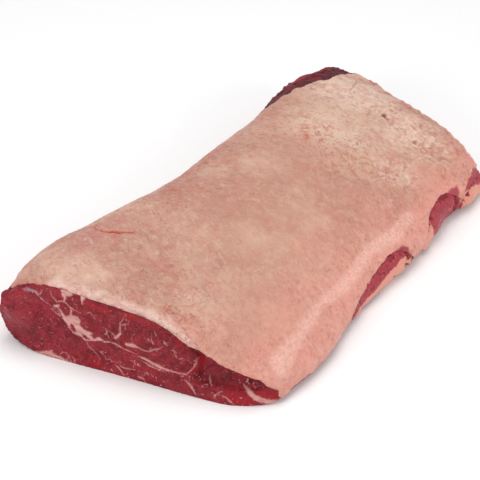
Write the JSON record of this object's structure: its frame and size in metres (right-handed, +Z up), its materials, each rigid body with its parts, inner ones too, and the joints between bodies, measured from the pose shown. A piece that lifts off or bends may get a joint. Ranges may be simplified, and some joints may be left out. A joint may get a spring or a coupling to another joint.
{
  "type": "raw boneless beef striploin",
  "caption": "Whole boneless beef striploin, fat side up: a long slab of lean with a cut face at each end under a fat cap that wraps over its thin side.",
  "frame": {"origin": "centre of the footprint, on the surface that the piece lies on", "axes": "+Z up through the fat cap, +Y along the length from the rump cut to the rib cut, +X across towards the thin flank side"},
  "size_m": [0.2572, 0.4848, 0.0749],
  "materials": {
    "lean": "moist cut muscle",
    "fat": "soft waxy fat"
  },
  "bodies": {
    "root": {"lean": "lean", "fat_cap": "fat"}
  },
  "joints": []
}
